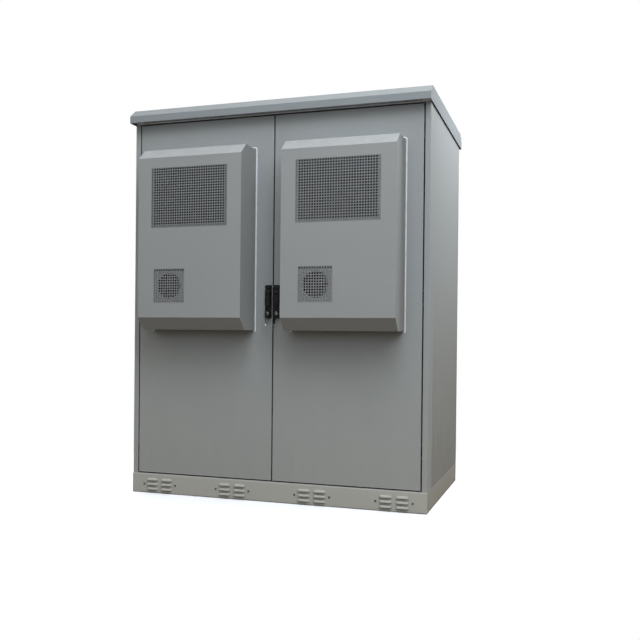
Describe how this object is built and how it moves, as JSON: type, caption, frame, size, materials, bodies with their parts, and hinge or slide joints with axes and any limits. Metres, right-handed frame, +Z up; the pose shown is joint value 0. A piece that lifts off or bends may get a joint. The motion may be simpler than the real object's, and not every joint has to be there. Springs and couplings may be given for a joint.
{
  "type": "battery storage cabinet",
  "caption": "Outdoor steel battery cabinet: double doors with perforated cooling hoods, black swing handles, louvred plinth, overhanging roof and shelved battery bays inside.",
  "frame": {"origin": "middle of the plinth on the floor, at the centre of the four anchor holes", "axes": "+X to the right of someone facing the doors, +Z up, the doors face -Y"},
  "size_m": [1.574, 1.155, 2],
  "materials": {
    "powder_coat": "fine-grain satin powder coat",
    "zinc_steel": "zinc-plated",
    "seal_rubber": "foam",
    "black_plastic": "fine-grain satin",
    "fan_plastic": "satin",
    "coil_fins": "bare fins",
    "lock_chrome": "polished",
    "copper": "bare copper"
  },
  "bodies": {
    "cabinet": {"plinth_front": "powder_coat", "plinth_rear": "powder_coat", "plinth_left": "powder_coat", "plinth_right": "powder_coat", "vent_filters": "fan_plastic", "vent_screws": "zinc_steel", "floor_panel": "powder_coat", "gland_plate": "zinc_steel", "left_front_post": "powder_coat", "right_front_post": "powder_coat", "centre_post": "powder_coat", "frame_lips": "powder_coat", "left_side_panel": "powder_coat", "right_side_panel": "powder_coat", "rear_panel": "powder_coat", "top_panel": "powder_coat", "roof_rails": "zinc_steel", "roof_hood": "powder_coat", "roof_vent_strip": "powder_coat", "left_uprights": "zinc_steel", "right_uprights": "zinc_steel", "left_shelves": "zinc_steel", "right_shelves": "zinc_steel", "earth_bar": "copper", "hinge_frame_leaves": "zinc_steel"},
    "left_door": {"left_door_skin": "powder_coat", "left_door_stiffeners": "zinc_steel", "left_door_seal": "seal_rubber", "left_hinge_leaves": "zinc_steel", "left_unit_hood": "powder_coat", "left_unit_chassis": "zinc_steel", "left_unit_coil": "coil_fins", "left_fan_frame": "fan_plastic", "left_handle_base": "black_plastic"},
    "left_fan": {"left_fan_rotor": "fan_plastic"},
    "left_handle": {"left_spindle": "zinc_steel"},
    "left_handle_lever": {"left_lever": "black_plastic"},
    "left_lock": {"left_lock_barrel": "lock_chrome", "left_keys": "black_plastic"},
    "left_top_rod": {"left_upper_rod": "zinc_steel"},
    "left_bottom_rod": {"left_lower_rod": "zinc_steel"},
    "right_door": {"right_door_skin": "powder_coat", "right_door_stiffeners": "zinc_steel", "right_door_seal": "seal_rubber", "right_hinge_leaves": "zinc_steel", "right_unit_hood": "powder_coat", "right_unit_chassis": "zinc_steel", "right_unit_coil": "coil_fins", "right_fan_frame": "fan_plastic", "right_handle_base": "black_plastic"},
    "right_fan": {"right_fan_rotor": "fan_plastic"},
    "right_handle": {"right_spindle": "zinc_steel"},
    "right_handle_lever": {"right_lever": "black_plastic"},
    "right_lock": {"right_lock_barrel": "lock_chrome", "right_keys": "black_plastic"},
    "right_top_rod": {"right_upper_rod": "zinc_steel"},
    "right_bottom_rod": {"right_lower_rod": "zinc_steel"}
  },
  "joints": [
    {"name": "left_door_swing", "type": "hinge", "parent": "cabinet", "child": "left_door", "pos_m": [-0.733, -0.453, 1], "axis": [0, 0, -1], "range_deg": [0, 105]},
    {"name": "left_fan_spin", "type": "hinge", "parent": "left_door", "child": "left_fan", "pos_m": [-0.485, -0.6125, 1.069], "axis": [0, -1, 0], "continuous": true},
    {"name": "left_handle_turn", "type": "hinge", "parent": "left_door", "child": "left_handle", "pos_m": [-0.023, -0.4655, 1.045], "axis": [0, 1, 0], "range_deg": [0, 90]},
    {"name": "left_lever_lift", "type": "hinge", "parent": "left_handle", "child": "left_handle_lever", "pos_m": [-0.023, -0.4803, 1.045], "axis": [-1, 0, 0], "range_deg": [0, 40]},
    {"name": "left_key_turn", "type": "hinge", "parent": "left_door", "child": "left_lock", "pos_m": [-0.023, -0.47, 0.937], "axis": [0, 1, 0], "range_deg": [0, 90]},
    {"name": "left_top_rod_slide", "type": "slide", "parent": "left_door", "child": "left_top_rod", "axis": [0, 0, -1], "range_m": [0, 0.011]},
    {"name": "left_bottom_rod_slide", "type": "slide", "parent": "left_door", "child": "left_bottom_rod", "axis": [0, 0, 1], "range_m": [0, 0.011]},
    {"name": "right_door_swing", "type": "hinge", "parent": "cabinet", "child": "right_door", "pos_m": [0.733, -0.453, 1], "axis": [0, 0, 1], "range_deg": [0, 105]},
    {"name": "right_fan_spin", "type": "hinge", "parent": "right_door", "child": "right_fan", "pos_m": [0.275, -0.6125, 1.069], "axis": [0, -1, 0], "continuous": true},
    {"name": "right_handle_turn", "type": "hinge", "parent": "right_door", "child": "right_handle", "pos_m": [0.023, -0.4655, 1.045], "axis": [0, -1, 0], "range_deg": [0, 90]},
    {"name": "right_lever_lift", "type": "hinge", "parent": "right_handle", "child": "right_handle_lever", "pos_m": [0.023, -0.4803, 1.045], "axis": [-1, 0, 0], "range_deg": [0, 40]},
    {"name": "right_key_turn", "type": "hinge", "parent": "right_door", "child": "right_lock", "pos_m": [0.023, -0.47, 0.937], "axis": [0, -1, 0], "range_deg": [0, 90]},
    {"name": "right_top_rod_slide", "type": "slide", "parent": "right_door", "child": "right_top_rod", "axis": [0, 0, -1], "range_m": [0, 0.011]},
    {"name": "right_bottom_rod_slide", "type": "slide", "parent": "right_door", "child": "right_bottom_rod", "axis": [0, 0, 1], "range_m": [0, 0.011]}
  ],
  "couplings": [
    {"joint": "left_handle_turn", "follows": "left_top_rod_slide", "rad_per_m": 142.79},
    {"joint": "left_bottom_rod_slide", "follows": "left_top_rod_slide", "ratio": 1},
    {"joint": "right_handle_turn", "follows": "right_top_rod_slide", "rad_per_m": 142.79},
    {"joint": "right_bottom_rod_slide", "follows": "right_top_rod_slide", "ratio": 1}
  ]
}
